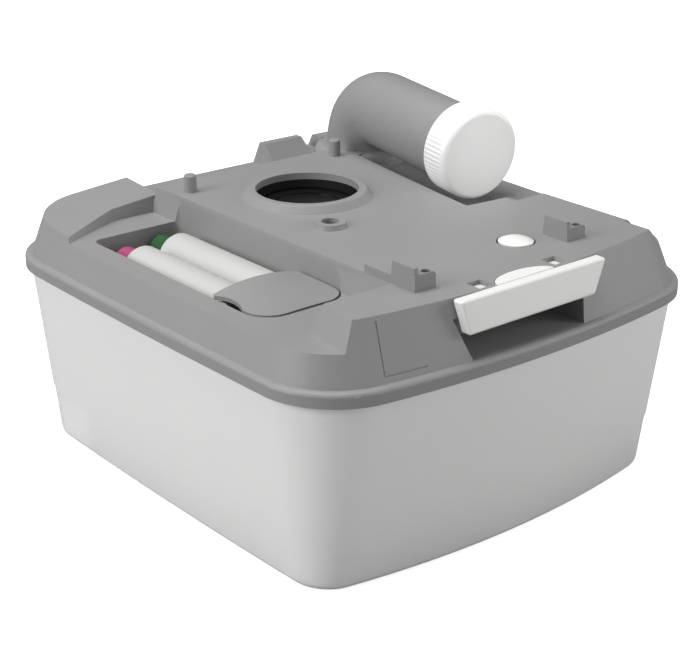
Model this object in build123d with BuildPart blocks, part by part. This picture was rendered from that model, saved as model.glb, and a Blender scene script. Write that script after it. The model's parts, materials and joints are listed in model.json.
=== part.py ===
from build123d import *
import math
import os

# Waste-holding tank of a portable toilet, in millimetres.
# The handle side faces -Y, up is +Z, and the origin is on the floor under the middle of the tank.

# Overall sizes
width = 383
depth = 427
seam_height = 148
skin = 3
corner = 62
front_bow = 19
side_bow = 3
back_bow = 4

# Tub
tub_inset = 4.5
tub_foot_inset_x = 20
tub_foot_inset_y = 23.5
tub_foot_corner = 32
tub_foot_radius = 7
tub_foot_height = 45
tub_foot_step = 0.7
tub_floor = 4
floor_recess = 1.5
floor_rim = 14
gasket_height = 2

# Deck levels
lip_height = 10.5
lip_step = 5.5
ledge_height = 180
deck_height = 200
wall_lean = 15 / 41.5
wall_top = 206
lip_round = 3.5

# Middle of the deck, its left edge, its back edge and the front blocks
deck_left = -80
deck_back = 142
deck_side_lean = 5
deck_right = 147
deck_right_back = -66
block_back = -144
block_left = -139
block_left_taper = 0.13
block_lean = 9
block_right = 142.5
right_slope = 26
right_back_slope = 16
block_right_back = -134
block_right_lean = 22

# Rises at the back and the right
corner_block_side = 55
corner_block_ramp = 60
corner_block_left = -120
corner_block_front = 147
corner_block_right = -78
corner_block_drop = 27
corner_block_height = 188
corner_slope_x = 0.079
corner_slope_y = 0.0594
shelf_level = 188
shelf_slope_x = 0.03
shelf_slope_y = 0.018
back_ledge_height = 183.5
back_ledge_slope = 0.04
tab_left = 56
tab_right = 102
tab_lean = 3
tab_front = 158
tab_ridge = 184
tab_height = 202
horn_left = 113
horn_right = 148
horn_ridge = 178
horn_lean = 4
horn_height = 199

deck_under = deck_height - skin

# Inlet
inlet_x = 0
inlet_y = 50
inlet_radius = 41
inlet_ring_radius = 52
inlet_ring_crest = 47
inlet_ring_height = 6
inlet_ring_round = 2
seal_seat_radius = 45
seal_seat_height = 0.5
seal_radius = 37.5

# Blade, its tray and the handle
slide_clearance = 0.3
blade_radius = 45
blade_thickness = 3
blade_neck_half = 24
blade_travel = 95
blade_hollow_radius = 28
blade_hollow_depth = 0.8
blade_low = 190.3
tray_floor = 5
tray_wall = 4
tray_hole_radius = 38
ear_height = 3
ear_radius = 6
screw_radius = 2
screw_length = 11
screw_clearance = 0.05
screw_head_radius = 3.8
screw_head_height = 2.4
screw_boss_radius = 5
blade_top = blade_low + blade_thickness
tray_low = blade_low - slide_clearance - tray_floor
tray_half = blade_radius + slide_clearance + tray_wall
tray_back = inlet_y + tray_half
tray_front = inlet_y - blade_travel - tray_half
ear_x = tray_half + screw_boss_radius + slide_clearance
plate_half = 50
plate_thickness = 6.3
plate_back = -165
plate_shoulder = 6
tongue_end = -22
tongue_lap = 14
rivet_radius = 2.4
wiper_width = 3
wiper_depth = 3
wiper_height = 9

handle_left_top = -70
handle_left_bottom = -66
handle_right_top = 71
handle_right_bottom = 55
handle_top = 201
handle_bottom = 177.5
handle_thickness = 9.5
handle_back_top = -192.5
handle_back_bottom = -198
handle_bevel = 2
pad_x = -0.7
pad_half = 27
pad_reach = 12.5
pad_top = 200.8
pad_gap = 0.5

# Recess behind and under the handle
recess_left_top = -75
recess_left_bottom = -61.5
recess_right_top = 57.5
recess_right_bottom = 45
recess_back = -166
recess_floor = seam_height + lip_height
recess_ceiling = 187
seat_clearance = 0.8
seat_gap = 1
chamber_floor = 190
chamber_half = 53
window_left = (-35, -182.5)
window_right = (38.5, -181.5)
window_width = 12.5
window_depth = 13.5
window_round = 1

# Vent
vent_x = 47
vent_y = -135
vent_radius = 13
vent_ring_radius = 14.5
vent_proud = 3.5
vent_travel = 4.5
vent_cage_height = 25
vent_wall = 2
vent_flange = 4
vent_skirt = 7
vent_stem_radius = 2.5
vent_stem_tail = 7
vent_hole_circle = 9
vent_hole_radius = 2
vent_seal_radius = 12.5
vent_seal_height = 2.5
spring_wire = 0.5
spring_gap = 0.1
spring_radius = 6.5
spring_turns = 6

# Pour-out spout
pivot_x = 135
pivot_y = 141
spout_radius = 32
spout_wall = 2.8
spout_height = 237.6
spout_length = 166
spout_bend = 33.5
spout_yaw = 5.9
spout_pitch = 3.7
turret_radius = 43
turret_round = 7
swivel_clearance = 0.05
channel_radius = 45
channel_start = 34
channel_length = 199
cap_radius = 37.4
cap_depth = 27
cap_wall = 3
cap_round = 5
cap_back_round = 1
cap_gasket_height = 2
gasket_gap = 0.15
thread_depth = 1.8
thread_width = 2
leg_below = 9
groove_depth = 1.2
retainer_height = 2.5
retainer_reach = 4
ring_seal_level = 187
ring_seal_height = 2.6

# Storage well, its flap and the bottles
well_left = -161.5
well_right = -81
well_front = -106
well_back = 114
well_floor = 144
well_lean = 4
well_corner = 7
well_front_round = 21
bottle_radius = 18.5
bottle_front = -52
bottle_left_back = 82.5
bottle_right_back = 90
bottle_left_x = -139
bottle_right_x = -101.5
bottle_wall = 1.2
bottle_shoulder = 7
bottle_neck_radius = 8.5
bottle_neck_length = 10
bottle_cap_radius = 11.5
bottle_cap_length = 18
bottle_gap = 0.1

flap_back = -44
flap_front = -103
flap_edge = 1.7
flap_crown = 6.5
flap_front_edge = 0.3
flap_front_crown = 1
flap_thickness = 3
flap_side_gap = 1.5
flap_back_round = 2
notch_radius = 31
notch_y = -63
notch_reach = 4.5
hinge_y = -84
hinge_z = 176.8
knuckle_radius = 3.6
knuckle_length = 6
pin_radius = 1.5
pin_clearance = 0.05
pin_socket = 2.2
nub_front = -58
nub_length = 10
nub_height = 5
nub_reach = 4

# Fittings on the deck
post_radius = 5
post_height = 14
post_chamfer = 1
post_left_x = -65.5
post_left_y = 116.5
post_right_x = 88
post_right_y = 124
tower_wall = 3.5
tower_length = 25
tower_left_x = -80
tower_left_y = -167
tower_left_height = 16.5
tower_right_x = 74
tower_right_y = -160
tower_right_height = 14.7
hook_reach = 19
hook_depth = 8
hook_drop = 5
hook_hole_radius = 3.3
low_wall_length = 27
low_wall_height = 6
low_wall_foot = 8
boss_x = -35
boss_y = -22
boss_radius = 12
boss_foot_radius = 14
boss_height = 4
boss_hole_radius = 7
boss_hole_depth = 8

# Outline of a panel in the front wall, drawn as a shallow groove
panel_left_top = -128.5
panel_left_bottom = -131.6
panel_right = -98.1
panel_low = 162.5
panel_groove_width = 0.9
panel_groove_depth = 0.5

os.makedirs("parts", exist_ok=True)


def footprint(height, half_x, half_y, radius):
    """Outline of the tank at a height: four bowed sides and round corners."""
    left, right = -half_x + side_bow, half_x - side_bow
    front, back = -half_y + front_bow, half_y - back_bow
    with BuildSketch(Plane.XY.offset(height), mode=Mode.PRIVATE) as outline:
        with BuildLine():
            ThreePointArc((left, front), (0, -half_y), (right, front))
            ThreePointArc((right, front), (half_x, 0), (right, back))
            ThreePointArc((right, back), (0, half_y), (left, back))
            ThreePointArc((left, back), (-half_x, 0), (left, front))
        make_face()
        fillet(outline.vertices(), radius)
    return outline.sketch


def deck_inset(height):
    """How far the deck's leaning wall stands in from the widest outline at a height."""
    return lip_step + (height - seam_height - lip_height) * wall_lean


def deck_outline(height, inner=0):
    """Outline of the deck's leaning wall at a height."""
    inset = deck_inset(height) + inner
    return footprint(height, width / 2 - inset, depth / 2 - inset, corner - inset)


def wall_block(top, inner=0):
    """Solid inside the deck's leaning wall, from just above the lip up to a height."""
    low = seam_height + lip_height - 1
    with BuildPart(mode=Mode.PRIVATE) as block:
        loft([deck_outline(low, inner), deck_outline(wall_top, inner)], ruled=True)
        split(bisect_by=Plane.XY.offset(top), keep=Keep.BOTTOM)
    return block.part


def polygon(height, points):
    """Polygon at a height."""
    with BuildSketch(Plane.XY.offset(height), mode=Mode.PRIVATE) as outline:
        with BuildLine():
            Polyline(*points, close=True)
        make_face()
    return outline.sketch


def leaning_prism(low, low_points, high, high_points):
    """Solid between a polygon at one height and a polygon with as many corners at another."""
    with BuildPart(mode=Mode.PRIVATE) as prism:
        loft([polygon(low, low_points), polygon(high, high_points)], ruled=True)
    return prism.part


def below(solid, point, slope_x, slope_y):
    """The part of a solid that lies under a sloping plane through a point."""
    normal = Vector(-slope_x, -slope_y, 1)
    plane = Plane(origin=point, x_dir=(1, 0, slope_x), z_dir=normal)
    return split(solid, bisect_by=plane, keep=Keep.BOTTOM)


def tub_outline(height, inner=0):
    """Outline of the white tub at a height."""
    rise = height / seam_height
    inset_x = tub_foot_inset_x + (tub_inset - tub_foot_inset_x) * rise + inner
    inset_y = tub_foot_inset_y + (tub_inset - tub_foot_inset_y) * rise + inner
    radius = tub_foot_corner + (corner - tub_inset - tub_foot_corner) * rise - inner
    return footprint(height, width / 2 - inset_x, depth / 2 - inset_y, radius)


# White tub: leaning walls, a foot that steps in a little, and a floor that stands on its rim
with BuildPart() as tank_tub:
    loft([tub_outline(0, tub_foot_step), tub_outline(tub_foot_height, tub_foot_step)], ruled=True)
    fillet(faces().sort_by(Axis.Z)[0].edges(), tub_foot_radius)
    loft([tub_outline(tub_foot_height), tub_outline(seam_height)], ruled=True)
    loft([tub_outline(tub_floor, skin), tub_outline(seam_height, skin)], ruled=True, mode=Mode.SUBTRACT)
    extrude(tub_outline(0, floor_rim + tub_foot_radius), amount=floor_recess, mode=Mode.SUBTRACT)
tank_tub.part.label = "tank_tub"

# Gasket in the seam between the tub's rim and the deck's lip
with BuildPart() as seam_gasket:
    extrude(tub_outline(seam_height), amount=gasket_height)
    extrude(tub_outline(seam_height, skin), amount=gasket_height, mode=Mode.SUBTRACT)
seam_gasket.part.label = "seam_gasket"

# The spout's axes: it stands on the pivot, bends over and points to the front
yaw = math.radians(spout_yaw)
pitch = math.radians(spout_pitch)
spout_dir = Vector(-math.sin(yaw) * math.cos(pitch), -math.cos(yaw) * math.cos(pitch), -math.sin(pitch))
elbow = Vector(pivot_x, pivot_y, spout_height)


def spout_plane(distance):
    """Plane square to the spout's long axis at a distance from its elbow."""
    return Plane(origin=elbow + spout_dir * distance, x_dir=(0, 0, 1), z_dir=spout_dir)


def rod(plane, radius, length):
    """Round rod that starts on a plane and runs along its normal."""
    with BuildPart(mode=Mode.PRIVATE) as piece:
        with BuildSketch(plane):
            Circle(radius)
        extrude(amount=length)
    return piece.part


def well_prism(grow, low):
    """Space of the storage well, grown on every side, from a height up to above the ledge."""
    high = deck_height + skin
    outlines = []
    for height in (low, high):
        lean = well_lean * (high - height) / (high - well_floor)
        left, right = well_left - grow + lean, well_right + grow
        front, back = well_front - grow + lean, well_back + grow - lean
        with BuildSketch(Plane.XY.offset(height), mode=Mode.PRIVATE) as outline:
            with BuildLine():
                Polyline((left, front), (right, front), (right, back), (left, back), close=True)
            make_face()
            fillet(outline.vertices().sort_by(Axis.Y)[:2], well_front_round + grow)
            fillet(outline.vertices().sort_by(Axis.Y)[-2:], well_corner + grow)
        outlines.append(outline.sketch)
    with BuildPart(mode=Mode.PRIVATE) as prism:
        loft(outlines, ruled=True)
    return prism.part


# Solids of the deck's outside: the ledge, then what rises from it
foot = ledge_height - 2
beyond = depth
plain_wall = wall_block(deck_height)
ledge = wall_block(ledge_height)


def rise(low_points, high_points, high):
    """Solid that rises from the ledge between two polygons, inside the deck's leaning wall."""
    return leaning_prism(foot, low_points, high, high_points) & wall_block(high)


def grown(points, left, right, front, back, centre=(0, 0)):
    """Polygon whose corners are moved out by a lean for each side of a centre."""
    return [
        (x - left if x < centre[0] else x + right, y - front if y < centre[1] else y + back)
        for x, y in points
    ]


# Middle of the deck, from the front blocks to the back ledge
middle_points = [
    (deck_left, block_back - 10),
    (deck_right, block_back - 10),
    (deck_right, deck_right_back),
    (deck_left, deck_right_back),
]
with BuildPart() as middle:
    add(rise(
        grown(middle_points, deck_side_lean, right_slope, 0, right_back_slope, (0, block_back)),
        middle_points,
        deck_height,
    ))
    rear_points = [
        (deck_left, deck_right_back - 20),
        (pivot_x - 20, deck_right_back - 20),
        (pivot_x - 5, deck_back),
        (deck_left, deck_back),
    ]
    add(rise(grown(rear_points, deck_side_lean, 0, 0, deck_side_lean), rear_points, deck_height))

# Front block, with its two leaning ends
front_points = [
    (block_left - (beyond + block_back) * block_left_taper, -beyond),
    (block_right, -beyond),
    (block_right, block_right_back),
    (0, block_right_back),
    (0, block_back),
    (block_left, block_back),
]
front_block = rise(
    grown(front_points, block_lean, block_right_lean, 0, deck_side_lean, (0, -beyond + 1)),
    front_points,
    deck_height,
)

# Rear left corner: a wedge that climbs to the back and drops to the back ledge
corner_points = [
    (-beyond, corner_block_side),
    (corner_block_left, corner_block_front),
    (corner_block_right, corner_block_front),
    (corner_block_right, beyond),
    (-beyond, beyond),
]
corner_foot = [
    (-beyond, corner_block_side - corner_block_ramp),
    (corner_block_left - 3, corner_block_front - 4),
    (corner_block_right + 3, corner_block_front - 4),
    (corner_block_right + corner_block_drop, beyond),
    (-beyond, beyond),
]
corner_block = below(
    rise(corner_foot, corner_points, deck_height),
    (-167, 180, corner_block_height),
    corner_slope_x,
    corner_slope_y,
)

# Right shelf beside the spout's channel, and the back ledge
shelf_points = [(deck_left + 170, -beyond), (beyond, -beyond), (beyond, beyond), (deck_left + 170, beyond)]
shelf = below(
    rise(shelf_points, shelf_points, deck_height),
    (178, 0, shelf_level),
    shelf_slope_x,
    shelf_slope_y,
)
back_points = [(corner_block_right, deck_back - 10), (beyond, deck_back - 10), (beyond, beyond),
               (corner_block_right, beyond)]
back_ledge = below(
    rise(back_points, back_points, deck_height), (0, 205, back_ledge_height), 0, back_ledge_slope
)



def tab(left, right, front, ridge, lean, height):
    """Tab at the back edge: a ramp up to a ridge between two leaning ends."""
    low = [(left, front), (right, front), (right, beyond), (left, beyond)]
    high = [(left + lean, ridge), (right - lean, ridge), (right - lean, beyond), (left + lean, beyond)]
    return rise(low, high, height)


# Tab at the back, and the horn beside it behind the spout
back_tab = tab(tab_left, tab_right, tab_front, tab_ridge, tab_lean, tab_height)
horn = tab(horn_left, horn_right, horn_ridge - horn_lean, horn_ridge, horn_lean, horn_height)

# Turret that carries the spout
with BuildPart() as turret:
    add(rod(Plane((pivot_x, pivot_y, foot)), turret_radius, deck_height - foot))
    fillet(edges().sort_by(Axis.Z)[-1], turret_round)
    add(plain_wall, mode=Mode.INTERSECT)

# Channel under the stowed spout
channel = rod(spout_plane(channel_start), channel_radius, channel_length - channel_start)
channel_outside = rod(spout_plane(channel_start), channel_radius + skin, channel_length + skin - channel_start)

# Storage well
well_space = well_prism(0, well_floor)
well_outside = split(
    well_prism(skin, well_floor - skin), bisect_by=Plane.XY.offset(ledge_height), keep=Keep.BOTTOM
)

# Flap over the front of the well: its edges, and the pins it turns on
flap_lean = well_lean * (deck_height + skin - ledge_height) / (deck_height + skin - well_floor)
flap_left = well_left + flap_lean + flap_side_gap
flap_right = well_right - flap_side_gap
flap_middle = (flap_left + flap_right) / 2
flap_front_round = well_front_round - flap_side_gap
flap_low = ledge_height + flap_front_edge - flap_thickness
nub_share = (nub_front - flap_back) / (flap_front - flap_back)
nub_top = flap_low + (flap_edge - flap_front_edge) * (1 - nub_share) - slide_clearance
pin_ends = (
    (flap_left - flap_side_gap - pin_socket, flap_left + knuckle_length),
    (flap_right - knuckle_length, flap_right + flap_side_gap + pin_socket),
)


def pin(radius, start, end):
    """Rod on the flap's hinge line between two places across the well."""
    return rod(Plane((start, hinge_y, hinge_z), z_dir=(1, 0, 0)), radius, end - start)


# Recess for the fingers, seat for the handle, and the flat chamber for the handle's plate
def between(height, low, high):
    """Value at a height, from its values at the bottom and the top of the handle."""
    return low + (high - low) * (height - handle_bottom) / (handle_top - handle_bottom)


def recess_end(height, low, high):
    """Place of a leaning end of the recess at a height."""
    return low + (high - low) * (height - recess_floor) / (deck_height - recess_floor)


def recess_prism(grow, back, low, high):
    """Space between the recess's leaning ends, from in front of the deck to a back face."""
    corners = []
    for height in (low, high):
        left = recess_end(height, recess_left_bottom, recess_left_top) - grow
        right = recess_end(height, recess_right_bottom, recess_right_top) + grow
        corners.append([(left, -beyond), (right, -beyond), (right, back), (left, back)])
    return leaning_prism(low, corners[0], high, corners[1])


recess_space = recess_prism(0, recess_back, recess_floor, recess_ceiling)
recess_outside = recess_prism(skin, recess_back + skin, recess_floor - skin, chamber_floor)

def seat_points(height):
    """Corners of the handle's seat at a height."""
    left = recess_end(height, recess_left_bottom, recess_left_top)
    right = between(height, handle_right_bottom, handle_right_top) + seat_gap
    back = between(height, handle_back_bottom, handle_back_top) + seat_clearance
    return [(left, -beyond), (right, -beyond), (right, back), (left, back)]


seat_low = handle_bottom - seat_gap
seat_high = deck_height + skin
seat_space = leaning_prism(seat_low, seat_points(seat_low), seat_high, seat_points(seat_high))
chamber_back = recess_back + skin
with BuildPart() as chamber_space:
    with BuildSketch(Plane.XY.offset(chamber_floor)):
        with Locations((0, chamber_back)):
            Rectangle(2 * chamber_half, beyond, align=(Align.CENTER, Align.MAX))
    extrude(amount=deck_under - chamber_floor)
with BuildPart() as chamber_outside:
    with BuildSketch(Plane.XY.offset(chamber_floor - skin)):
        with Locations((0, chamber_back + skin)):
            Rectangle(2 * (chamber_half + skin), beyond, align=(Align.CENTER, Align.MAX))
    extrude(amount=deck_under - chamber_floor + skin)


def disc(x, y, radius, low, high):
    """Upright round solid between two heights."""
    return rod(Plane((x, y, low)), radius, high - low)


# Hollow under the deck: what its walls, wells, channel, bosses and turret leave free
screw_places = [(side * ear_x, y) for side in (-1, 1) for y in (tray_front + 22, 2, tray_back - 22)]
hollow_low = ledge_height - 2 * skin
middle_left = max(deck_left, well_right) + skin
with BuildPart() as deck_hollow:
    extrude(deck_outline(seam_height + lip_height - 1, skin + 0.1), amount=skin)
    with BuildSketch(Plane.XY.offset(hollow_low)):
        with BuildLine():
            Polyline(
                (middle_left, deck_back - skin),
                (middle_left, block_back - skin),
                (block_left + skin, block_back - skin),
                (block_left + skin, -beyond),
                (block_right - skin, -beyond),
                (block_right - skin, block_right_back - skin),
                (deck_right - skin, deck_right_back - skin),
                (pivot_x + (deck_right_back - pivot_y) * math.tan(yaw), deck_right_back - skin),
                (pivot_x, deck_back - skin),
                close=True,
            )
        make_face()
    extrude(amount=deck_under - hollow_low)
    add(wall_block(deck_under, skin), mode=Mode.INTERSECT)
    add(wall_block(ledge_height - skin, skin))
    extrude(deck_outline(seam_height + lip_height, skin + 0.1), amount=-lip_height)
    add(well_outside, mode=Mode.SUBTRACT)
    add(recess_outside, mode=Mode.SUBTRACT)
    add(chamber_outside.part, mode=Mode.SUBTRACT)
    add(channel_outside, mode=Mode.SUBTRACT)
    add(disc(pivot_x, pivot_y, turret_radius, ledge_height - skin, deck_height), mode=Mode.SUBTRACT)
    add(disc(boss_x, boss_y, boss_foot_radius, blade_top + slide_clearance, deck_height), mode=Mode.SUBTRACT)
    for x, y in screw_places:
        add(disc(x, y, screw_boss_radius, tray_low + ear_height, deck_height), mode=Mode.SUBTRACT)

# Raised ring round the inlet
with BuildPart() as inlet_ring:
    with BuildSketch(Plane.XZ.offset(-inlet_y)):
        with BuildLine():
            crest = deck_height + inlet_ring_height
            Polyline(
                (inlet_x, deck_under),
                (inlet_x + inlet_ring_radius, deck_under),
                (inlet_x + inlet_ring_radius, deck_height),
                (inlet_x + inlet_ring_crest, crest),
                (inlet_x, crest),
                close=True,
            )
        make_face()
    revolve(axis=Axis((inlet_x, inlet_y, 0), (0, 0, 1)))
    fillet(faces().sort_by(Axis.Z)[-1].edges(), inlet_ring_round)

# Locating post, clip tower and low wall that stand on the deck
def post(x, y):
    """Round post with a chamfered head."""
    with BuildPart(mode=Mode.PRIVATE) as piece:
        with Locations((x, y, deck_height)):
            Cylinder(post_radius, post_height, align=(Align.CENTER, Align.CENTER, Align.MIN))
        chamfer(piece.edges().sort_by(Axis.Z)[-1], post_chamfer)
    return piece.part


def clip_tower(x, y, height):
    """Clip tower: a wall along the deck's depth with a stepped hook at its front end."""
    with BuildPart(mode=Mode.PRIVATE) as piece:
        with BuildSketch(Plane.YZ.offset(x)):
            with BuildLine():
                Polyline(
                    (y, deck_height - skin),
                    (y + tower_length, deck_height - skin),
                    (y + tower_length - 2, deck_height + height),
                    (y + 1, deck_height + height),
                    close=True,
                )
            make_face()
        extrude(amount=tower_wall)
        with BuildSketch(Plane.XZ.offset(-y)):
            with BuildLine():
                Polyline(
                    (x, deck_height - skin),
                    (x + hook_reach, deck_height - skin),
                    (x + hook_reach, deck_height + height - hook_drop - 2),
                    (x + hook_reach - 2, deck_height + height - hook_drop),
                    (x, deck_height + height - hook_drop),
                    close=True,
                )
            make_face()
        extrude(amount=-hook_depth)
        with Locations((x + hook_reach - 6, y + hook_depth / 2, deck_height + height)):
            Hole(hook_hole_radius, depth=height - skin)
    return piece.part


with BuildPart() as fittings:
    add(post(post_left_x, post_left_y))
    add(post(post_right_x, post_right_y))
    add(clip_tower(tower_left_x, tower_left_y, tower_left_height))
    add(clip_tower(tower_right_x, tower_right_y, tower_right_height))
    with Locations((tower_left_x, tower_left_y + tower_length - skin, deck_height - low_wall_foot)):
        Box(
            tower_wall,
            low_wall_length + skin,
            low_wall_height + low_wall_foot,
            align=(Align.MIN, Align.MIN, Align.MIN),
        )
    with Locations((boss_x, boss_y, deck_height - skin)):
        Cone(
            boss_foot_radius,
            boss_radius,
            boss_height + skin,
            align=(Align.CENTER, Align.CENTER, Align.MIN),
        )

# Groove round the panel in the front wall
with BuildPart() as panel_groove:
    add(leaning_prism(
        panel_low,
        [(panel_left_bottom, -beyond), (panel_left_bottom + panel_groove_width, -beyond),
         (panel_left_bottom + panel_groove_width, 0), (panel_left_bottom, 0)],
        deck_height - skin,
        [(panel_left_top, -beyond), (panel_left_top + panel_groove_width, -beyond),
         (panel_left_top + panel_groove_width, 0), (panel_left_top, 0)],
    ))
    with Locations((panel_left_bottom, -beyond, panel_low)):
        Box(
            panel_right - panel_left_bottom,
            beyond,
            panel_groove_width,
            align=(Align.MIN, Align.MIN, Align.MIN),
        )
    add(wall_block(deck_height), mode=Mode.INTERSECT)
    add(wall_block(deck_height, panel_groove_depth), mode=Mode.SUBTRACT)

# Grey deck
with BuildPart() as tank_deck:
    extrude(footprint(seam_height, width / 2, depth / 2, corner), amount=lip_height)
    fillet(faces().sort_by(Axis.Z)[-1].edges(), lip_round)
    add(ledge)
    add(middle.part)
    add(front_block)
    add(corner_block)
    add(shelf)
    add(back_ledge)
    add(channel, mode=Mode.SUBTRACT)
    add(back_tab)
    add(horn)
    add(turret.part)
    add(inlet_ring.part)
    add(deck_hollow.part, mode=Mode.SUBTRACT)
    add(well_outside)
    add(well_space, mode=Mode.SUBTRACT)
    add(recess_space, mode=Mode.SUBTRACT)
    add(seat_space, mode=Mode.SUBTRACT)
    add(chamber_space.part, mode=Mode.SUBTRACT)
    add(fittings.part)
    # Seat of the seam gasket over the tub's rim
    add(seam_gasket.part, mode=Mode.SUBTRACT)
    # Inlet, its seal's seat, and the socket in the boss
    with Locations((inlet_x, inlet_y, deck_height + inlet_ring_height)):
        Hole(inlet_radius, depth=inlet_ring_height + 2 * skin)
    add(
        disc(inlet_x, inlet_y, seal_seat_radius, hollow_low, deck_height + seal_seat_height),
        mode=Mode.SUBTRACT,
    )
    with Locations((boss_x, boss_y, deck_height + boss_height)):
        Hole(boss_hole_radius, depth=boss_hole_depth)
    # Turret's bore down to the hollow, and the vent's hole
    add(
        disc(pivot_x, pivot_y, spout_radius + swivel_clearance, hollow_low, deck_height + skin),
        mode=Mode.SUBTRACT,
    )
    with Locations((vent_x, vent_y, deck_height)):
        Hole(vent_ring_radius, depth=2 * skin)
    # Half oval round the handle's pad, and windows over the handle's plate
    with BuildSketch(Plane.XY.offset(deck_under - 1)):
        with Locations((pad_x, handle_back_top)):
            Ellipse(pad_half + pad_gap, pad_reach + pad_gap)
        with Locations(window_left, window_right):
            RectangleRounded(window_width, window_depth, window_round)
    extrude(amount=skin + 2, mode=Mode.SUBTRACT)
    add(panel_groove.part, mode=Mode.SUBTRACT)
    # Way for the tongue out of the plate's chamber
    with Locations((0, chamber_back, blade_low + blade_thickness / 2)):
        Box(
            2 * (blade_neck_half + slide_clearance),
            4 * skin,
            blade_thickness + 2 * slide_clearance,
            mode=Mode.SUBTRACT,
        )
    # Pilot holes in the screw bosses
    for x, y in screw_places:
        add(
            disc(x, y, screw_radius + screw_clearance, tray_low, tray_low + ear_height + screw_length),
            mode=Mode.SUBTRACT,
        )
    # Nubs that the closed flap rests on, and the sockets of its pins
    for x, align in ((flap_left - flap_side_gap - skin, Align.MIN), (flap_right + flap_side_gap + skin, Align.MAX)):
        with Locations((x, nub_front, nub_top)):
            Box(nub_reach + skin, nub_length, nub_height, align=(align, Align.MIN, Align.MAX))
    for start, end in pin_ends:
        add(pin(pin_radius + pin_clearance, start, end), mode=Mode.SUBTRACT)
tank_deck.part.label = "tank_deck"

# Lip seal that the blade slides under
with BuildPart() as inlet_seal:
    seal_top = deck_height + seal_seat_height
    seal_low = blade_top + slide_clearance
    with BuildSketch(Plane.XZ.offset(-inlet_y)):
        with BuildLine():
            Polyline(
                (inlet_x + seal_radius, seal_low),
                (inlet_x + seal_seat_radius, seal_low),
                (inlet_x + seal_seat_radius, seal_top),
                (inlet_x + inlet_radius - 1, seal_top),
                (inlet_x + seal_radius, seal_low + 1.5),
                close=True,
            )
        make_face()
    revolve(axis=Axis((inlet_x, inlet_y, 0), (0, 0, 1)))
inlet_seal.part.label = "inlet_seal"

# Blade: a round plate with a neck and a thin lap for the handle's tongue
lap_end = tongue_end - tongue_lap
blade_middle = blade_low + blade_thickness / 2
rivet_places = [(x, tongue_end - tongue_lap / 2) for x in (-blade_neck_half / 2, blade_neck_half / 2)]
with BuildPart() as valve_blade:
    with BuildSketch(Plane.XY.offset(blade_low)):
        with Locations((inlet_x, inlet_y)):
            Circle(blade_radius)
            Rectangle(2 * blade_neck_half, inlet_y - tongue_end, align=(Align.CENTER, Align.MAX))
    extrude(amount=blade_thickness)
    with Locations((inlet_x, inlet_y, blade_top)):
        Hole(blade_hollow_radius, depth=blade_hollow_depth)
    with BuildSketch(Plane.XY.offset(blade_low)):
        with Locations((0, tongue_end)):
            Rectangle(2 * blade_neck_half, tongue_lap, align=(Align.CENTER, Align.MAX))
    extrude(amount=blade_thickness / 2)
    with Locations(*[(x, y, blade_middle) for x, y in rivet_places]):
        Hole(rivet_radius, depth=blade_thickness)
valve_blade.part.label = "valve_blade"

# Handle: a leaning grip bar, the wide plate that shows through the deck, and the tongue to the blade
def grip_outline(height):
    """Cross-section of the grip bar at a height."""
    left = between(height, handle_left_bottom, handle_left_top)
    right = between(height, handle_right_bottom, handle_right_top)
    back = between(height, handle_back_bottom, handle_back_top)
    front = back - handle_thickness
    return polygon(height, [(left, front), (right, front), (right, back), (left, back)])


with BuildPart() as grip:
    loft([grip_outline(handle_bottom), grip_outline(handle_top)], ruled=True)
    fillet(edges(), handle_bevel)

with BuildPart() as valve_handle:
    with BuildSketch(Plane.XY.offset(blade_middle)):
        with Locations((0, tongue_end)):
            Rectangle(2 * blade_neck_half, tongue_lap + 1, align=(Align.CENTER, Align.MAX))
    extrude(amount=blade_thickness / 2)
    with Locations(*[(x, y, blade_top) for x, y in rivet_places]):
        Hole(rivet_radius, depth=blade_thickness)
    with BuildSketch(Plane.XY.offset(blade_low)):
        with Locations((0, lap_end)):
            Rectangle(2 * blade_neck_half, lap_end - plate_back, align=(Align.CENTER, Align.MAX))
    extrude(amount=blade_thickness)
    plate_points = [
        (-blade_neck_half, plate_back),
        (-plate_half, plate_back - plate_shoulder),
        (-plate_half, handle_back_top - plate_shoulder),
        (plate_half, handle_back_top - plate_shoulder),
        (plate_half, plate_back - plate_shoulder),
        (blade_neck_half, plate_back),
    ]
    extrude(polygon(blade_low, plate_points), amount=plate_thickness)
    # Half-oval pad in the deck's notch
    with BuildSketch(Plane.XY.offset(blade_low)):
        with Locations((pad_x, handle_back_top)):
            Ellipse(pad_half, pad_reach)
            Rectangle(
                2 * pad_half, 2 * pad_reach, align=(Align.CENTER, Align.MAX), mode=Mode.SUBTRACT
            )
    extrude(amount=pad_top - blade_low)
    with BuildSketch(Plane.XY.offset(blade_low)):
        with Locations((pad_x, handle_back_top)):
            Rectangle(2 * pad_half, plate_shoulder, align=(Align.CENTER, Align.MAX))
    extrude(amount=plate_thickness)
    add(grip.part)
valve_handle.part.label = "valve_handle"

# Two flush rivets through the lap
with BuildPart() as blade_rivets:
    for x, y in rivet_places:
        add(disc(x, y, rivet_radius, blade_low, blade_top))
blade_rivets.part.label = "blade_rivets"

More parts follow.
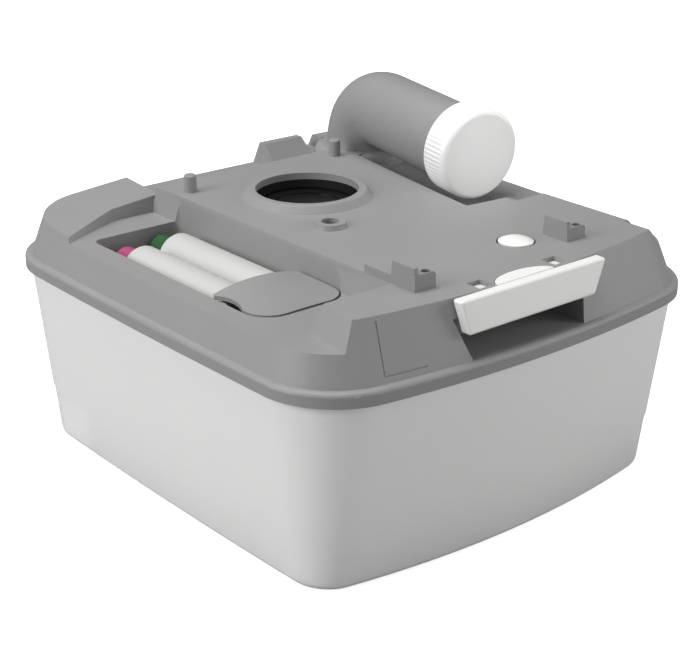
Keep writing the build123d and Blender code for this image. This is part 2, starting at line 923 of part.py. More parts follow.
# Tray that guides the blade under the deck
with BuildPart() as valve_tray:
    with BuildSketch(Plane.XY.offset(tray_low)):
        with Locations((inlet_x, inlet_y - blade_travel / 2)):
            SlotCenterToCenter(blade_travel, 2 * tray_half, rotation=90)
    extrude(amount=deck_under - tray_low)
    with BuildSketch(Plane.XY.offset(tray_low)):
        for x, y in screw_places:
            with Locations((x, y)):
                Circle(ear_radius)
            with Locations((x / 2 + inlet_x / 2, y)):
                Rectangle(abs(x - inlet_x), 2 * ear_radius)
    extrude(amount=ear_height)
    with BuildSketch(Plane.XY.offset(tray_low + tray_floor)):
        with Locations((inlet_x, inlet_y - blade_travel / 2)):
            SlotCenterToCenter(blade_travel, 2 * (blade_radius + slide_clearance), rotation=90)
    extrude(amount=deck_under - tray_low, mode=Mode.SUBTRACT)
    add(disc(inlet_x, inlet_y, tray_hole_radius, tray_low - 1, deck_under), mode=Mode.SUBTRACT)
    with Locations((0, tray_front, blade_middle)):
        Box(
            2 * (blade_neck_half + slide_clearance),
            2 * tray_half,
            blade_thickness + 2 * slide_clearance,
            mode=Mode.SUBTRACT,
        )
    for x, y in screw_places:
        add(disc(x, y, screw_radius + screw_clearance, tray_low - 1, deck_under), mode=Mode.SUBTRACT)
    # Notch that clears the foot of the deck's boss
    add(
        disc(boss_x, boss_y, boss_foot_radius + 2 * slide_clearance, blade_top, deck_under),
        mode=Mode.SUBTRACT,
    )
valve_tray.part.label = "valve_tray"

with BuildPart() as tray_screws:
    for x, y in screw_places:
        add(disc(x, y, screw_radius, tray_low, tray_low + ear_height + screw_length - 1))
        add(disc(x, y, screw_head_radius, tray_low - screw_head_height, tray_low))
tray_screws.part.label = "tray_screws"

# Wiper that the tongue slides through, behind the chamber's back wall
with BuildPart() as tongue_wiper:
    with Locations((0, chamber_back + skin, blade_middle)):
        Box(
            2 * (blade_neck_half + wiper_width),
            wiper_depth,
            wiper_height,
            align=(Align.CENTER, Align.MIN, Align.CENTER),
        )
        Box(
            2 * (blade_neck_half + slide_clearance),
            4 * wiper_depth,
            blade_thickness + 2 * slide_clearance,
            mode=Mode.SUBTRACT,
        )
tongue_wiper.part.label = "tongue_wiper"

# Vent: a cup under the deck, the button with its stem, the seal and clip on the stem, and the spring
vent_floor = deck_under - vent_cage_height
vent_seat = vent_floor + vent_wall
with BuildPart() as vent_housing:
    add(disc(vent_x, vent_y, vent_ring_radius + vent_wall, vent_floor, deck_under))
    add(disc(vent_x, vent_y, vent_ring_radius + vent_flange, deck_under - vent_wall, deck_under))
    add(disc(vent_x, vent_y, vent_ring_radius, vent_seat, deck_under), mode=Mode.SUBTRACT)
    with Locations((vent_x, vent_y, vent_seat)):
        Hole(vent_stem_radius + 0.5, depth=2 * vent_wall)
        with PolarLocations(vent_hole_circle, 6):
            Hole(vent_hole_radius, depth=2 * vent_wall)
vent_housing.part.label = "vent_housing"

vent_under = deck_height - 0.5
with BuildPart() as vent_button:
    with BuildSketch(Plane.XZ):
        with BuildLine():
            ThreePointArc(
                (0, deck_height + vent_proud),
                (vent_radius * 0.6, deck_height + vent_proud - 0.9),
                (vent_radius, deck_height + vent_proud - 3),
            )
            Polyline(
                (vent_radius, deck_height + vent_proud - 3),
                (vent_radius, deck_under - vent_skirt),
                (vent_radius - vent_wall, deck_under - vent_skirt),
                (vent_radius - vent_wall, vent_under),
                (vent_stem_radius, vent_under),
                (vent_stem_radius, vent_floor - vent_stem_tail),
                (0, vent_floor - vent_stem_tail),
                (0, deck_height + vent_proud),
            )
        make_face()
    revolve(axis=Axis.Z)
vent_button.part.position = (vent_x, vent_y, 0)
vent_button.part.label = "vent_button"


def washer(inner, outer, low, high):
    """Flat ring on the vent's axis."""
    with BuildPart(mode=Mode.PRIVATE) as ring:
        with BuildSketch(Plane((vent_x, vent_y, low))):
            Circle(outer)
            Circle(inner, mode=Mode.SUBTRACT)
        extrude(amount=high - low)
    return ring.part


washer_top = vent_floor - slide_clearance
washer_low = washer_top - vent_seal_height
with BuildPart() as vent_seal:
    add(washer(vent_stem_radius, vent_seal_radius, washer_low, washer_top))
vent_seal.part.label = "vent_seal"
with BuildPart() as vent_clip:
    add(washer(vent_stem_radius, vent_seal_radius / 2, washer_low - vent_seal_height, washer_low))
vent_clip.part.label = "vent_clip"

spring_length = vent_under - vent_seat - 2 * spring_wire - 2 * spring_gap
with BuildPart() as vent_spring:
    with BuildLine() as coil:
        Helix(
            pitch=spring_length / spring_turns,
            height=spring_length,
            radius=spring_radius,
            center=(vent_x, vent_y, vent_seat + spring_wire + spring_gap),
        )
    with BuildSketch(Plane(origin=coil.line @ 0, z_dir=coil.line % 0)):
        Circle(spring_wire)
    sweep()
vent_spring.part.label = "vent_spring"

# Pour-out spout: a leg in the turret, a bend and a long tube with a neck for the cap
cap_back = spout_length - cap_depth
cap_inner = cap_radius - cap_wall
gasket_start = spout_length - cap_wall - gasket_gap - cap_gasket_height
neck_end = gasket_start - slide_clearance
leg_low = ledge_height - leg_below
groove_radius = spout_radius - groove_depth


def spout_route(end):
    """Middle line of the spout from the foot of its leg to a distance along its tube."""
    with BuildLine(mode=Mode.PRIVATE) as route:
        FilletPolyline((pivot_x, pivot_y, leg_low), elbow, elbow + spout_dir * end, radius=spout_bend)
    return route.line


def tube(radius, end):
    """Solid tube of a radius along the spout's middle line."""
    with BuildPart(mode=Mode.PRIVATE) as piece:
        with BuildSketch(Plane((pivot_x, pivot_y, leg_low))):
            Circle(radius)
        sweep(path=spout_route(end))
    return piece.part


ring_low = ledge_height - skin - slide_clearance - retainer_height
with BuildPart() as pour_spout:
    add(tube(spout_radius, neck_end))
    add(rod(spout_plane(cap_back + 2), cap_inner - thread_depth, neck_end - cap_back - 2))
    for step in (6, 12):
        add(rod(spout_plane(cap_back + step), cap_inner - slide_clearance, thread_width))
    add(tube(spout_radius - spout_wall, neck_end), mode=Mode.SUBTRACT)
    for low, height in ((ring_low, retainer_height), (ring_seal_level, ring_seal_height)):
        with BuildSketch(Plane((pivot_x, pivot_y, low))):
            Circle(spout_radius + 1)
            Circle(groove_radius, mode=Mode.SUBTRACT)
        extrude(amount=height, mode=Mode.SUBTRACT)
pour_spout.part.label = "pour_spout"


def leg_ring(outer, low, height):
    """Ring in a groove of the spout's leg."""
    with BuildPart(mode=Mode.PRIVATE) as ring:
        with BuildSketch(Plane((pivot_x, pivot_y, low))):
            Circle(outer)
            Circle(groove_radius, mode=Mode.SUBTRACT)
        extrude(amount=height)
    return ring.part


with BuildPart() as spout_retainer:
    add(leg_ring(spout_radius + retainer_reach, ring_low, retainer_height))
spout_retainer.part.label = "spout_retainer"
with BuildPart() as spout_o_ring:
    add(leg_ring(spout_radius, ring_seal_level, ring_seal_height))
spout_o_ring.part.label = "spout_o_ring"

with BuildPart() as spout_cap:
    add(rod(spout_plane(cap_back), cap_radius, cap_depth))
    fillet(edges().sort_by(Axis(elbow, spout_dir))[-1], cap_round)
    fillet(edges().sort_by(Axis(elbow, spout_dir))[0], cap_back_round)
    add(rod(spout_plane(cap_back), cap_inner, cap_depth - cap_wall), mode=Mode.SUBTRACT)
spout_cap.part.label = "spout_cap"

with BuildPart() as cap_gasket:
    add(rod(spout_plane(gasket_start), cap_inner - slide_clearance, cap_gasket_height))
    add(rod(spout_plane(gasket_start), spout_radius - spout_wall, cap_gasket_height), mode=Mode.SUBTRACT)
cap_gasket.part.label = "cap_gasket"

# Flap: an arched plate that runs flush to the front, with a finger notch and two knuckles
def flap_profile(y, edge, crown):
    """Cross-section of the flap at a place along the well."""
    side = ledge_height + edge
    middle_top = ledge_height + crown
    with BuildSketch(Plane.XZ.offset(-y), mode=Mode.PRIVATE) as profile:
        with BuildLine():
            ThreePointArc((flap_left, side), (flap_middle, middle_top), (flap_right, side))
            Line((flap_right, side), (flap_right, side - flap_thickness))
            ThreePointArc(
                (flap_right, side - flap_thickness),
                (flap_middle, middle_top - flap_thickness),
                (flap_left, side - flap_thickness),
            )
            Line((flap_left, side - flap_thickness), (flap_left, side))
        make_face()
    return profile.sketch


with BuildPart() as well_flap:
    loft([
        flap_profile(flap_back, flap_edge, flap_crown),
        flap_profile(flap_front, flap_front_edge, flap_front_crown),
    ], ruled=True)
    with BuildPart(mode=Mode.INTERSECT) as flap_plan:
        with Locations((flap_middle, flap_front, flap_low - skin)):
            Box(
                flap_right - flap_left,
                flap_back - flap_front,
                deck_height,
                align=(Align.CENTER, Align.MIN, Align.MIN),
            )
        fillet(flap_plan.edges().filter_by(Axis.Z).sort_by(Axis.Y)[:2], flap_front_round)
        fillet(flap_plan.edges().filter_by(Axis.Z).sort_by(Axis.Y)[-2:], flap_back_round)
    add(
        disc(flap_left + notch_reach - notch_radius, notch_y, notch_radius, flap_low - skin, deck_height),
        mode=Mode.SUBTRACT,
    )
    for start in (flap_left + 1, flap_right - knuckle_length):
        with Locations(Location((start, hinge_y, hinge_z), (0, 90, 0))):
            Cylinder(knuckle_radius, knuckle_length - 1, align=(Align.CENTER, Align.CENTER, Align.MIN))
    for start, end in pin_ends:
        add(pin(pin_radius + pin_clearance, start, end), mode=Mode.SUBTRACT)
well_flap.part.label = "well_flap"

with BuildPart() as flap_pins:
    for start, end in pin_ends:
        add(pin(pin_radius, start + pin_clearance, end - pin_clearance))
flap_pins.part.label = "flap_pins"

# Bottles that lie in the well with their caps to the back
bottle_level = well_floor + bottle_radius + bottle_gap


def turned(x, points):
    """Solid of revolution about a bottle's axis, from radii and distances along it."""
    with BuildPart(mode=Mode.PRIVATE) as piece:
        with BuildSketch(Plane((x, bottle_front, bottle_level), x_dir=(1, 0, 0), z_dir=(0, 0, 1))):
            with BuildLine():
                Polyline(*points, close=True)
            make_face()
        revolve(axis=Axis((x, bottle_front, bottle_level), (0, 1, 0)))
    return piece.part


def bottle(x, back):
    """Hollow bottle with a round shoulder and an open neck."""
    length = back - bottle_front
    inner = bottle_radius - bottle_wall
    neck_inner = bottle_neck_radius - bottle_wall
    neck_end_at = length + bottle_neck_length
    return turned(x, [
        (0, 0),
        (bottle_radius - skin, 0),
        (bottle_radius, skin),
        (bottle_radius, length - bottle_shoulder),
        (bottle_neck_radius, length),
        (bottle_neck_radius, neck_end_at),
        (neck_inner, neck_end_at),
        (neck_inner, length - bottle_wall),
        (inner, length - bottle_shoulder - bottle_wall),
        (inner, skin + bottle_wall),
        (inner - skin, bottle_wall),
        (0, bottle_wall),
    ])


def bottle_cap(x, back):
    """Cap over a bottle's neck."""
    start = back - bottle_front + bottle_gap
    inner = bottle_neck_radius + pin_clearance
    return turned(x, [
        (0, start + bottle_cap_length),
        (bottle_cap_radius - 1, start + bottle_cap_length),
        (bottle_cap_radius, start + bottle_cap_length - 1),
        (bottle_cap_radius, start),
        (inner, start),
        (inner, start + bottle_neck_length),
        (0, start + bottle_neck_length),
    ])


with BuildPart() as bottle_left:
    add(bottle(bottle_left_x, bottle_left_back))
bottle_left.part.label = "bottle_left"
with BuildPart() as bottle_right:
    add(bottle(bottle_right_x, bottle_right_back))
bottle_right.part.label = "bottle_right"
with BuildPart() as bottle_cap_left:
    add(bottle_cap(bottle_left_x, bottle_left_back))
bottle_cap_left.part.label = "bottle_cap_left"
with BuildPart() as bottle_cap_right:
    add(bottle_cap(bottle_right_x, bottle_right_back))
bottle_cap_right.part.label = "bottle_cap_right"

pieces = (
    tank_tub, seam_gasket, tank_deck, inlet_seal, valve_blade, valve_handle, blade_rivets, valve_tray,
    tray_screws, tongue_wiper, vent_housing, vent_button, vent_seal, vent_clip, vent_spring, pour_spout,
    spout_retainer, spout_o_ring, spout_cap, cap_gasket, well_flap, flap_pins, bottle_left, bottle_right,
    bottle_cap_left, bottle_cap_right,
)
for piece in pieces:
    export_step(piece.part, f"parts/{piece.part.label}.step")
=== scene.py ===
import json
import math

import bmesh
import bpy
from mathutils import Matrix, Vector


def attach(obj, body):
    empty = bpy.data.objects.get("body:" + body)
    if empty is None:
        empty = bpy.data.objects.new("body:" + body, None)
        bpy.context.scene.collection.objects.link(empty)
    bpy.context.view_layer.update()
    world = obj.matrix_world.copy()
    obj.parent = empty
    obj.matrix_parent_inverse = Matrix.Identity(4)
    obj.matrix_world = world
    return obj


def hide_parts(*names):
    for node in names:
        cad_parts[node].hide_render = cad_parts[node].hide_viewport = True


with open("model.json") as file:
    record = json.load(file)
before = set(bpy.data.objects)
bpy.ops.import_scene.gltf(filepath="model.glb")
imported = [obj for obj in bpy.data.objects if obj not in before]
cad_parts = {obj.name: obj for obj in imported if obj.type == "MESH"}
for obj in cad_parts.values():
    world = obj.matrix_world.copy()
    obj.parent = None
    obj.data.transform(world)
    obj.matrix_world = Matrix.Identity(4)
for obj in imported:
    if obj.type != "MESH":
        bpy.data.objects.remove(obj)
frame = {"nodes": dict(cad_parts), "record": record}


def write_size():
    """Updates the view layer; it writes nothing."""
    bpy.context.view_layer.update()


write_size()

# Which body each node rides on
BODY = {
    node: body
    for body, nodes in frame["record"]["behaviour"]["bodies"].items()
    for node in nodes
}


# Materials

WHITE = (1, 1, 1, 1)
FLOAT = "NodeSocketFloat"

# Moulded surface: noise scales in blobs a metre, and how far each one moves the look
GRAIN_SCALE = 1800
WAVE_SCALE = 28
CLOUD_SCALE = 9
SPECK_SCALE = 420
GRAIN_SHARE = 0.06
CLOUD_TONE = 0.08
SPECK_TONE = 0.05
CLOUD_ROUGHNESS = 0.12
BUMP_STRENGTH = 0.5
BUMP_DISTANCE = 0.0006
SUBSURFACE_RADIUS = (0.003, 0.003, 0.0025)

STEEL_COLOR = (0.62, 0.62, 0.61, 1)
STEEL_LINES = 900
STEEL_ROUGHNESS = (0.25, 0.4)


class Graph:
    """Short calls to place and join shader nodes in one tree."""

    def __init__(self, tree):
        self.tree = tree

    def add(self, kind, **settings):
        """Node of a type with its properties set."""
        node = self.tree.nodes.new(kind)
        for key, value in settings.items():
            setattr(node, key, value)
        return node

    def put(self, socket, value):
        """Joins a socket to a source or gives it a constant."""
        if isinstance(value, bpy.types.NodeSocket):
            self.tree.links.new(value, socket)
        else:
            socket.default_value = value

    def math(self, operation, a, b):
        """Value of a maths operation on two sources or numbers."""
        node = self.add("ShaderNodeMath", operation=operation)
        self.put(node.inputs[0], a)
        self.put(node.inputs[1], b)
        return node.outputs[0]

    def spread(self, value, amount):
        """Noise from 0 to 1 moved around 0 and scaled."""
        return self.math("MULTIPLY", self.math("SUBTRACT", value, 0.5), amount)

    def remap(self, value, low, high, to_low, to_high):
        """Value moved from one range to another and held inside it."""
        node = self.add("ShaderNodeMapRange")
        for index, source in enumerate((value, low, high, to_low, to_high)):
            self.put(node.inputs[index], source)
        return node.outputs[0]

    def mix(self, factor, a, b):
        """Colour between a and b."""
        node = self.add("ShaderNodeMix", data_type="RGBA")
        self.put(node.inputs["Factor"], factor)
        self.put(node.inputs[6], a)
        self.put(node.inputs[7], b)
        return node.outputs[2]

    def noise(self, place, scale, detail, rough=0.5):
        """Noise from 0 to 1 on a place."""
        node = self.add("ShaderNodeTexNoise")
        self.put(node.inputs["Vector"], place)
        node.inputs["Scale"].default_value = scale
        node.inputs["Detail"].default_value = detail
        node.inputs["Roughness"].default_value = rough
        return node.outputs["Fac"]


def new_material(name):
    """Empty material; gives the material, its graph and its Principled shader."""
    mat = bpy.data.materials.new(name)
    mat.use_nodes = True
    return mat, Graph(mat.node_tree), mat.node_tree.nodes["Principled BSDF"]


def moulded_group():
    """Moulded plastic: fine grain, slow waviness and a faint change of tone over the surface."""
    tree = bpy.data.node_groups.new("moulded_surface", "ShaderNodeTree")
    for label, value in (("Grain", 1.0), ("Wave", 1.0), ("Tone", 1.0), ("Roughness", 0.5)):
        tree.interface.new_socket(label, in_out="INPUT", socket_type=FLOAT).default_value = value
    for label in ("Height", "Tone", "Roughness"):
        tree.interface.new_socket(label, in_out="OUTPUT", socket_type=FLOAT)
    g = Graph(tree)
    inp = g.add("NodeGroupInput")
    out = g.add("NodeGroupOutput")
    place = g.add("ShaderNodeTexCoord").outputs["Object"]
    fine = g.spread(g.noise(place, GRAIN_SCALE, 1.0), inp.outputs["Grain"])
    slow = g.spread(g.noise(place, WAVE_SCALE, 1.0), inp.outputs["Wave"])
    g.put(out.inputs["Height"], g.math("ADD", g.math("MULTIPLY", fine, GRAIN_SHARE), slow))
    cloud = g.noise(place, CLOUD_SCALE, 3.0, 0.6)
    speck = g.noise(place, SPECK_SCALE, 2.0, 0.7)
    tone = g.math("ADD", g.spread(cloud, CLOUD_TONE), g.spread(speck, SPECK_TONE))
    g.put(out.inputs["Tone"], g.math("ADD", g.math("MULTIPLY", tone, inp.outputs["Tone"]), 1.0))
    change = g.spread(cloud, CLOUD_ROUGHNESS)
    g.put(out.inputs["Roughness"], g.math("ADD", inp.outputs["Roughness"], change))
    return tree


MOULDED = moulded_group()


def plastic(name, color, roughness, grain=1.0, wave=1.0, tone=1.0, specular=0.5, subsurface=0.0):
    """Moulded plastic of a colour, with the shared grain and tone."""
    mat, g, bsdf = new_material(name)
    group = g.add("ShaderNodeGroup", node_tree=MOULDED)
    for label, value in (("Grain", grain), ("Wave", wave), ("Tone", tone), ("Roughness", roughness)):
        group.inputs[label].default_value = value
    tint = g.add("ShaderNodeVectorMath", operation="SCALE")
    tint.inputs[0].default_value = color
    g.put(tint.inputs["Scale"], group.outputs["Tone"])
    g.put(bsdf.inputs["Base Color"], tint.outputs[0])
    g.put(bsdf.inputs["Roughness"], group.outputs["Roughness"])
    bump = g.add("ShaderNodeBump")
    bump.inputs["Strength"].default_value = BUMP_STRENGTH
    bump.inputs["Distance"].default_value = BUMP_DISTANCE
    g.put(bump.inputs["Height"], group.outputs["Height"])
    g.put(bsdf.inputs["Normal"], bump.outputs[0])
    bsdf.inputs["Specular IOR Level"].default_value = specular
    if subsurface:
        bsdf.inputs["Subsurface Weight"].default_value = subsurface
        bsdf.inputs["Subsurface Radius"].default_value = SUBSURFACE_RADIUS
    return mat


def steel():
    """Plain stainless steel with fine drawn lines."""
    mat, g, bsdf = new_material("steel")
    place = g.add("ShaderNodeTexCoord").outputs["Object"]
    lines = g.noise(place, STEEL_LINES, 2.0)
    bsdf.inputs["Metallic"].default_value = 1.0
    bsdf.inputs["Base Color"].default_value = STEEL_COLOR
    g.put(bsdf.inputs["Roughness"], g.remap(lines, 0.3, 0.7, *STEEL_ROUGHNESS))
    return mat


GREY = plastic("grey_deck", (0.28, 0.28, 0.282), 0.52)
SPOUT_GREY = plastic("grey_spout", (0.28, 0.28, 0.282), 0.42, grain=0.5)
WHITE_TUB = plastic(
    "white_tub", (0.84, 0.84, 0.835), 0.40, grain=0.4, wave=1.2, tone=0.5, subsurface=0.05
)
WHITE_TRIM = plastic(
    "white_trim", (0.86, 0.86, 0.845), 0.34, grain=0.2, wave=0.6, tone=0.4, subsurface=0.05
)
# Painted light: the cap's white is set brighter than the trim's white, to stand in for extra light
# falling on the cap
WHITE_CAP_PAINTED_LIGHT = plastic(
    "white_cap_painted_light", (0.93, 0.93, 0.92), 0.34, grain=0.2, wave=0.6, tone=0.4, subsurface=0.05
)
# Painted shade: the white bottles' colour is darkened to a mid grey so that they look shaded
WHITE_BOTTLE_PAINTED_SHADE = plastic(
    "white_bottle", (0.56, 0.56, 0.545), 0.42, grain=0.3, wave=1.0, tone=0.4, subsurface=0.1
)
PINK = plastic("pink_cap", (0.42, 0.075, 0.20), 0.4, grain=0.3, tone=0.6)
GREEN = plastic("green_cap", (0.02, 0.095, 0.03), 0.4, grain=0.3, tone=0.6)
BLADE = plastic("dark_blade", (0.008, 0.008, 0.009), 0.3, grain=0.1, tone=0.6, specular=0.3)
TRAY = plastic("dark_tray", (0.03, 0.03, 0.031), 0.5)
RUBBER = plastic("black_rubber", (0.004, 0.004, 0.0045), 0.7, grain=0.6, specular=0.12)
STEEL = steel()

LOOKS = {
    "tank_tub": WHITE_TUB,
    "tank_deck": GREY,
    "seam_gasket": RUBBER,
    "inlet_seal": RUBBER,
    "valve_blade": BLADE,
    "valve_handle": WHITE_TRIM,
    "blade_rivets": STEEL,
    "valve_tray": TRAY,
    "tray_screws": STEEL,
    "tongue_wiper": RUBBER,
    "vent_housing": GREY,
    "vent_button": WHITE_TRIM,
    "vent_seal": RUBBER,
    "vent_clip": WHITE_TRIM,
    "vent_spring": STEEL,
    "pour_spout": SPOUT_GREY,
    "spout_retainer": TRAY,
    "spout_o_ring": RUBBER,
    "spout_cap": WHITE_CAP_PAINTED_LIGHT,
    "cap_gasket": RUBBER,
    "well_flap": GREY,
    "flap_pins": STEEL,
    "bottle_left": WHITE_BOTTLE_PAINTED_SHADE,
    "bottle_right": WHITE_BOTTLE_PAINTED_SHADE,
    "bottle_cap_left": PINK,
    "bottle_cap_right": GREEN,
}
for name, look in LOOKS.items():
    node = frame["nodes"][name]
    node.data.materials.clear()
    node.data.materials.append(look)


# Shapes shown in place of CAD nodes

DOUBLES = 2e-6
FLAT_ANGLE = math.radians(0.6)
BEVEL_ANGLE = math.radians(25)
SMOOTH_ANGLE = 30
CAP_SMOOTH_ANGLE = 40

# The spout's cap: its axis from the spout's elbow, and its sizes in metres
SPOUT_ELBOW = Vector((0.135, 0.141, 0.2376))
SPOUT_YAW = math.radians(5.9)
SPOUT_PITCH = math.radians(3.7)
CAP_RADIUS = 0.0374
CAP_WALL = 0.003
CAP_LENGTH = 0.027
CAP_EDGE = 0.005
CAP_BACK_EDGE = 0.001
CAP_INNER_RING = 0.012
CAP_RIBS = 64
CAP_RIB_DEPTH = 0.0005
CAP_RIB_FADE = 3.0
CAP_SIDE_STEPS = 10
CAP_EDGE_STEPS = 8
CAP_TURNS = 512


def new_piece(name, mesh):
    """Object of a mesh, named after the node that it is shown in place of."""
    mesh.name = name + "_shape"
    piece = bpy.data.objects.new(name + "_shape", mesh)
    bpy.context.scene.collection.objects.link(piece)
    return piece


def clean_copy(name):
    """Copy of a node's mesh with its doubles merged and its flat faces joined."""
    mesh = frame["nodes"][name].data.copy()
    work = bmesh.new()
    work.from_mesh(mesh)
    bmesh.ops.remove_doubles(work, verts=work.verts, dist=DOUBLES)
    bmesh.ops.dissolve_limit(work, angle_limit=FLAT_ANGLE, verts=work.verts, edges=work.edges)
    work.to_mesh(mesh)
    work.free()
    return new_piece(name, mesh)


def shade(piece, angle=SMOOTH_ANGLE):
    """Smooth shading with edges sharper than an angle kept."""
    piece.data.shade_smooth()
    piece.data.set_sharp_from_angle(angle=math.radians(angle))


def stand_for(piece, name):
    """The piece rides with a node's body and is shown in its place."""
    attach(piece, BODY[name])
    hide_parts(name)


def smooth(name):
    """A node's copy with smooth shading."""
    piece = clean_copy(name)
    shade(piece)
    stand_for(piece, name)


def rounded(name, width, segments):
    """A node's copy with its sharp edges rounded to a radius."""
    piece = clean_copy(name)
    bevel = piece.modifiers.new("round", "BEVEL")
    bevel.width = width
    bevel.segments = segments
    bevel.limit_method = "ANGLE"
    bevel.angle_limit = BEVEL_ANGLE
    bevel.use_clamp_overlap = True
    bevel.harden_normals = False
    bevel.miter_outer = "MITER_ARC"
    shade(piece)
    normals = piece.modifiers.new("normals", "WEIGHTED_NORMAL")
    normals.keep_sharp = True
    stand_for(piece, name)


def cap_outline():
    """Radius, place along the axis and share of the rib depth, from the open end round to the inside."""
    outline = [
        (CAP_RADIUS - CAP_WALL, 0.0, 0.0),
        (CAP_RADIUS - CAP_BACK_EDGE, 0.0, 0.0),
        (CAP_RADIUS, CAP_BACK_EDGE, 0.0),
    ]
    side = CAP_LENGTH - CAP_EDGE - CAP_BACK_EDGE
    for step in range(1, CAP_SIDE_STEPS):
        share = min(1.0, CAP_RIB_FADE * math.sin(math.pi * step / CAP_SIDE_STEPS))
        outline.append((CAP_RADIUS, CAP_BACK_EDGE + side * step / CAP_SIDE_STEPS, share))
    for step in range(CAP_EDGE_STEPS + 1):
        turn = math.pi / 2 * step / CAP_EDGE_STEPS
        radius = CAP_RADIUS - CAP_EDGE + CAP_EDGE * math.cos(turn)
        outline.append((radius, CAP_LENGTH - CAP_EDGE + CAP_EDGE * math.sin(turn), 0.0))
    outline.append((CAP_INNER_RING, CAP_LENGTH, 0.0))
    face = len(outline) - 1
    outline.append((CAP_INNER_RING, CAP_LENGTH - CAP_WALL, 0.0))
    outline.append((CAP_RADIUS - CAP_WALL, CAP_LENGTH - CAP_WALL, 0.0))
    return outline, face


def ribbed_cap():
    """Spout cap as a turned ring with ribs on its side.

    A point's radius on the side is the cap's radius less half the rib depth times
    (1 + cos(ribs times its angle)), and the ribs fade out towards the two ends of the side.
    """
    axis = Vector((
        -math.sin(SPOUT_YAW) * math.cos(SPOUT_PITCH),
        -math.cos(SPOUT_YAW) * math.cos(SPOUT_PITCH),
        -math.sin(SPOUT_PITCH),
    ))
    side = axis.orthogonal().normalized()
    up = axis.cross(side)
    vertices = frame["nodes"]["spout_cap"].data.vertices
    start = min(vertex.co.dot(axis) for vertex in vertices) - SPOUT_ELBOW.dot(axis)
    outline, face = cap_outline()
    work = bmesh.new()
    rings = []
    for radius, place, share in outline:
        ring = []
        for k in range(CAP_TURNS):
            angle = 2 * math.pi * k / CAP_TURNS
            reach = radius - share * CAP_RIB_DEPTH / 2 * (1 + math.cos(CAP_RIBS * angle))
            out = (side * math.cos(angle) + up * math.sin(angle)) * reach
            ring.append(work.verts.new(SPOUT_ELBOW + axis * (start + place) + out))
        rings.append(ring)
    for i, low in enumerate(rings):
        if i == face:
            continue
        high = rings[(i + 1) % len(rings)]
        for k in range(CAP_TURNS):
            n = (k + 1) % CAP_TURNS
            work.faces.new((low[k], low[n], high[n], high[k]))
    work.faces.new(rings[face])
    work.faces.new(rings[face + 1])
    bmesh.ops.recalc_face_normals(work, faces=work.faces)
    mesh = bpy.data.meshes.new("spout_cap_shape")
    work.to_mesh(mesh)
    work.free()
    mesh.materials.append(WHITE_CAP_PAINTED_LIGHT)
    piece = new_piece("spout_cap", mesh)
    shade(piece, CAP_SMOOTH_ANGLE)
    stand_for(piece, "spout_cap")


rounded("tank_deck", 0.0022, 4)
rounded("valve_handle", 0.0006, 2)
rounded("well_flap", 0.0008, 3)
ribbed_cap()
for name in ("tank_tub", "pour_spout", "vent_button", "bottle_left", "bottle_right",
             "bottle_cap_left", "bottle_cap_right", "valve_blade", "inlet_seal"):
    smooth(name)


# Studio: floor, camera, lights and world

FLOOR_SIZE = 14
FLOOR_HEIGHT = -0.0002
FLOOR_SEEN = (0.97, 0.97, 0.97, 1)
FLOOR_BOUNCE = (0.35, 0.35, 0.35, 1)
FLOOR_GLOW = 0.68
SENSOR_WIDTH = 36
LENS = 84.43
CAMERA_PLACE = (-0.7662, -0.9276, 0.5881)
CAMERA_BACK = Vector((-0.5911, -0.7133, 0.3765))
AIM = Vector((0, 0, 0.12))
CAP_LIGHT_PLACE = Vector((-0.1, -1.3, 0.9))
CAP_FACE = Vector((0.119, -0.024, 0.232))
WORLD_LIGHT = 0.12
WORLD_SEEN = 1.0


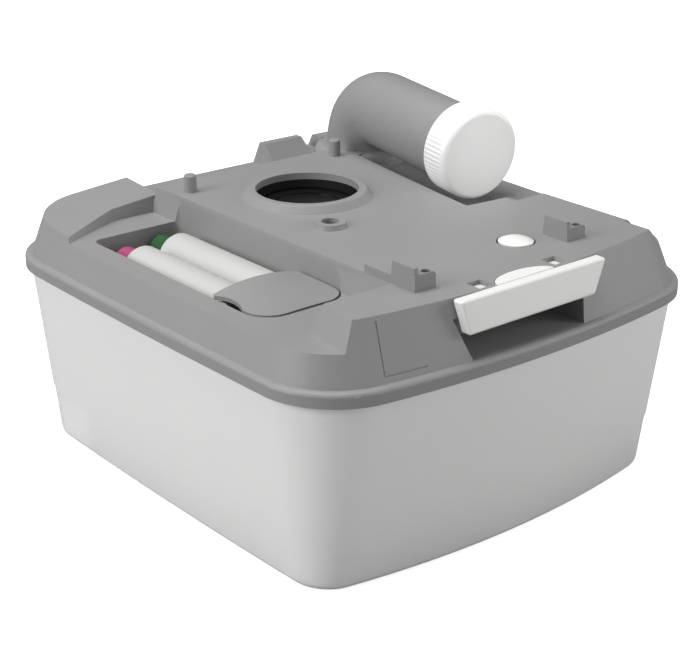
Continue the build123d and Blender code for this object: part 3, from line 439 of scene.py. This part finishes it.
def floor_material():
    """White floor that keeps the object's soft shadow and throws back little light."""
    mat, g, bsdf = new_material("studio_floor")
    seen = g.add("ShaderNodeLightPath").outputs["Is Camera Ray"]
    g.put(bsdf.inputs["Base Color"], g.mix(seen, FLOOR_BOUNCE, FLOOR_SEEN))
    bsdf.inputs["Emission Color"].default_value = WHITE
    g.put(bsdf.inputs["Emission Strength"], g.math("MULTIPLY", seen, FLOOR_GLOW))
    bsdf.inputs["Roughness"].default_value = 0.9
    bsdf.inputs["Specular IOR Level"].default_value = 0.1
    return mat


def turned(direction):
    """Rotation that points a camera or light away from a direction."""
    return direction.to_track_quat("Z", "Y").to_euler()


def new_light(name, kind, place, aim, power):
    """Light of a kind at a place, turned to a point; gives its data."""
    data = bpy.data.lights.new(name, kind)
    data.energy = power
    light = bpy.data.objects.new(name, data)
    bpy.context.scene.collection.objects.link(light)
    light.location = place
    light.rotation_euler = turned(Vector(place) - aim)
    return data


def area_light(name, place, size, power):
    """Soft square light turned to the object."""
    data = new_light(name, "AREA", place, AIM, power)
    data.shape = "SQUARE"
    data.size = size


bpy.ops.mesh.primitive_plane_add(size=FLOOR_SIZE, location=(0, 0, FLOOR_HEIGHT))
floor = bpy.context.object
floor.name = "studio_floor"
floor.data.materials.append(floor_material())

camera_data = bpy.data.cameras.new("camera")
camera_data.sensor_width = SENSOR_WIDTH
camera_data.lens = LENS
camera = bpy.data.objects.new("camera", camera_data)
bpy.context.scene.collection.objects.link(camera)
camera.location = CAMERA_PLACE
camera.rotation_euler = turned(CAMERA_BACK)
bpy.context.scene.camera = camera

area_light("key", (-2.3, 0.5, 1.25), 1.4, 43)
area_light("top", (-0.2, 0.4, 2.5), 1.8, 50)
area_light("front_fill", (0.2, -2.6, 0.9), 1.4, 8)
area_light("right_fill", (2.0, -1.8, 0.95), 1.4, 27)

# Narrow soft light on the face of the spout's cap
cap_light = new_light("cap_light", "SPOT", CAP_LIGHT_PLACE, CAP_FACE, 20)
cap_light.spot_size = 0.075
cap_light.spot_blend = 0.6
cap_light.shadow_soft_size = 0.03

world = bpy.data.worlds.new("studio")
bpy.context.scene.world = world
world.use_nodes = True
g = Graph(world.node_tree)
background = world.node_tree.nodes["Background"]
background.inputs["Color"].default_value = WHITE
seen = g.add("ShaderNodeLightPath").outputs["Is Camera Ray"]
g.put(background.inputs["Strength"], g.remap(seen, 0.0, 1.0, WORLD_LIGHT, WORLD_SEEN))
bpy.context.scene.view_settings.view_transform = "Standard"

write_size()
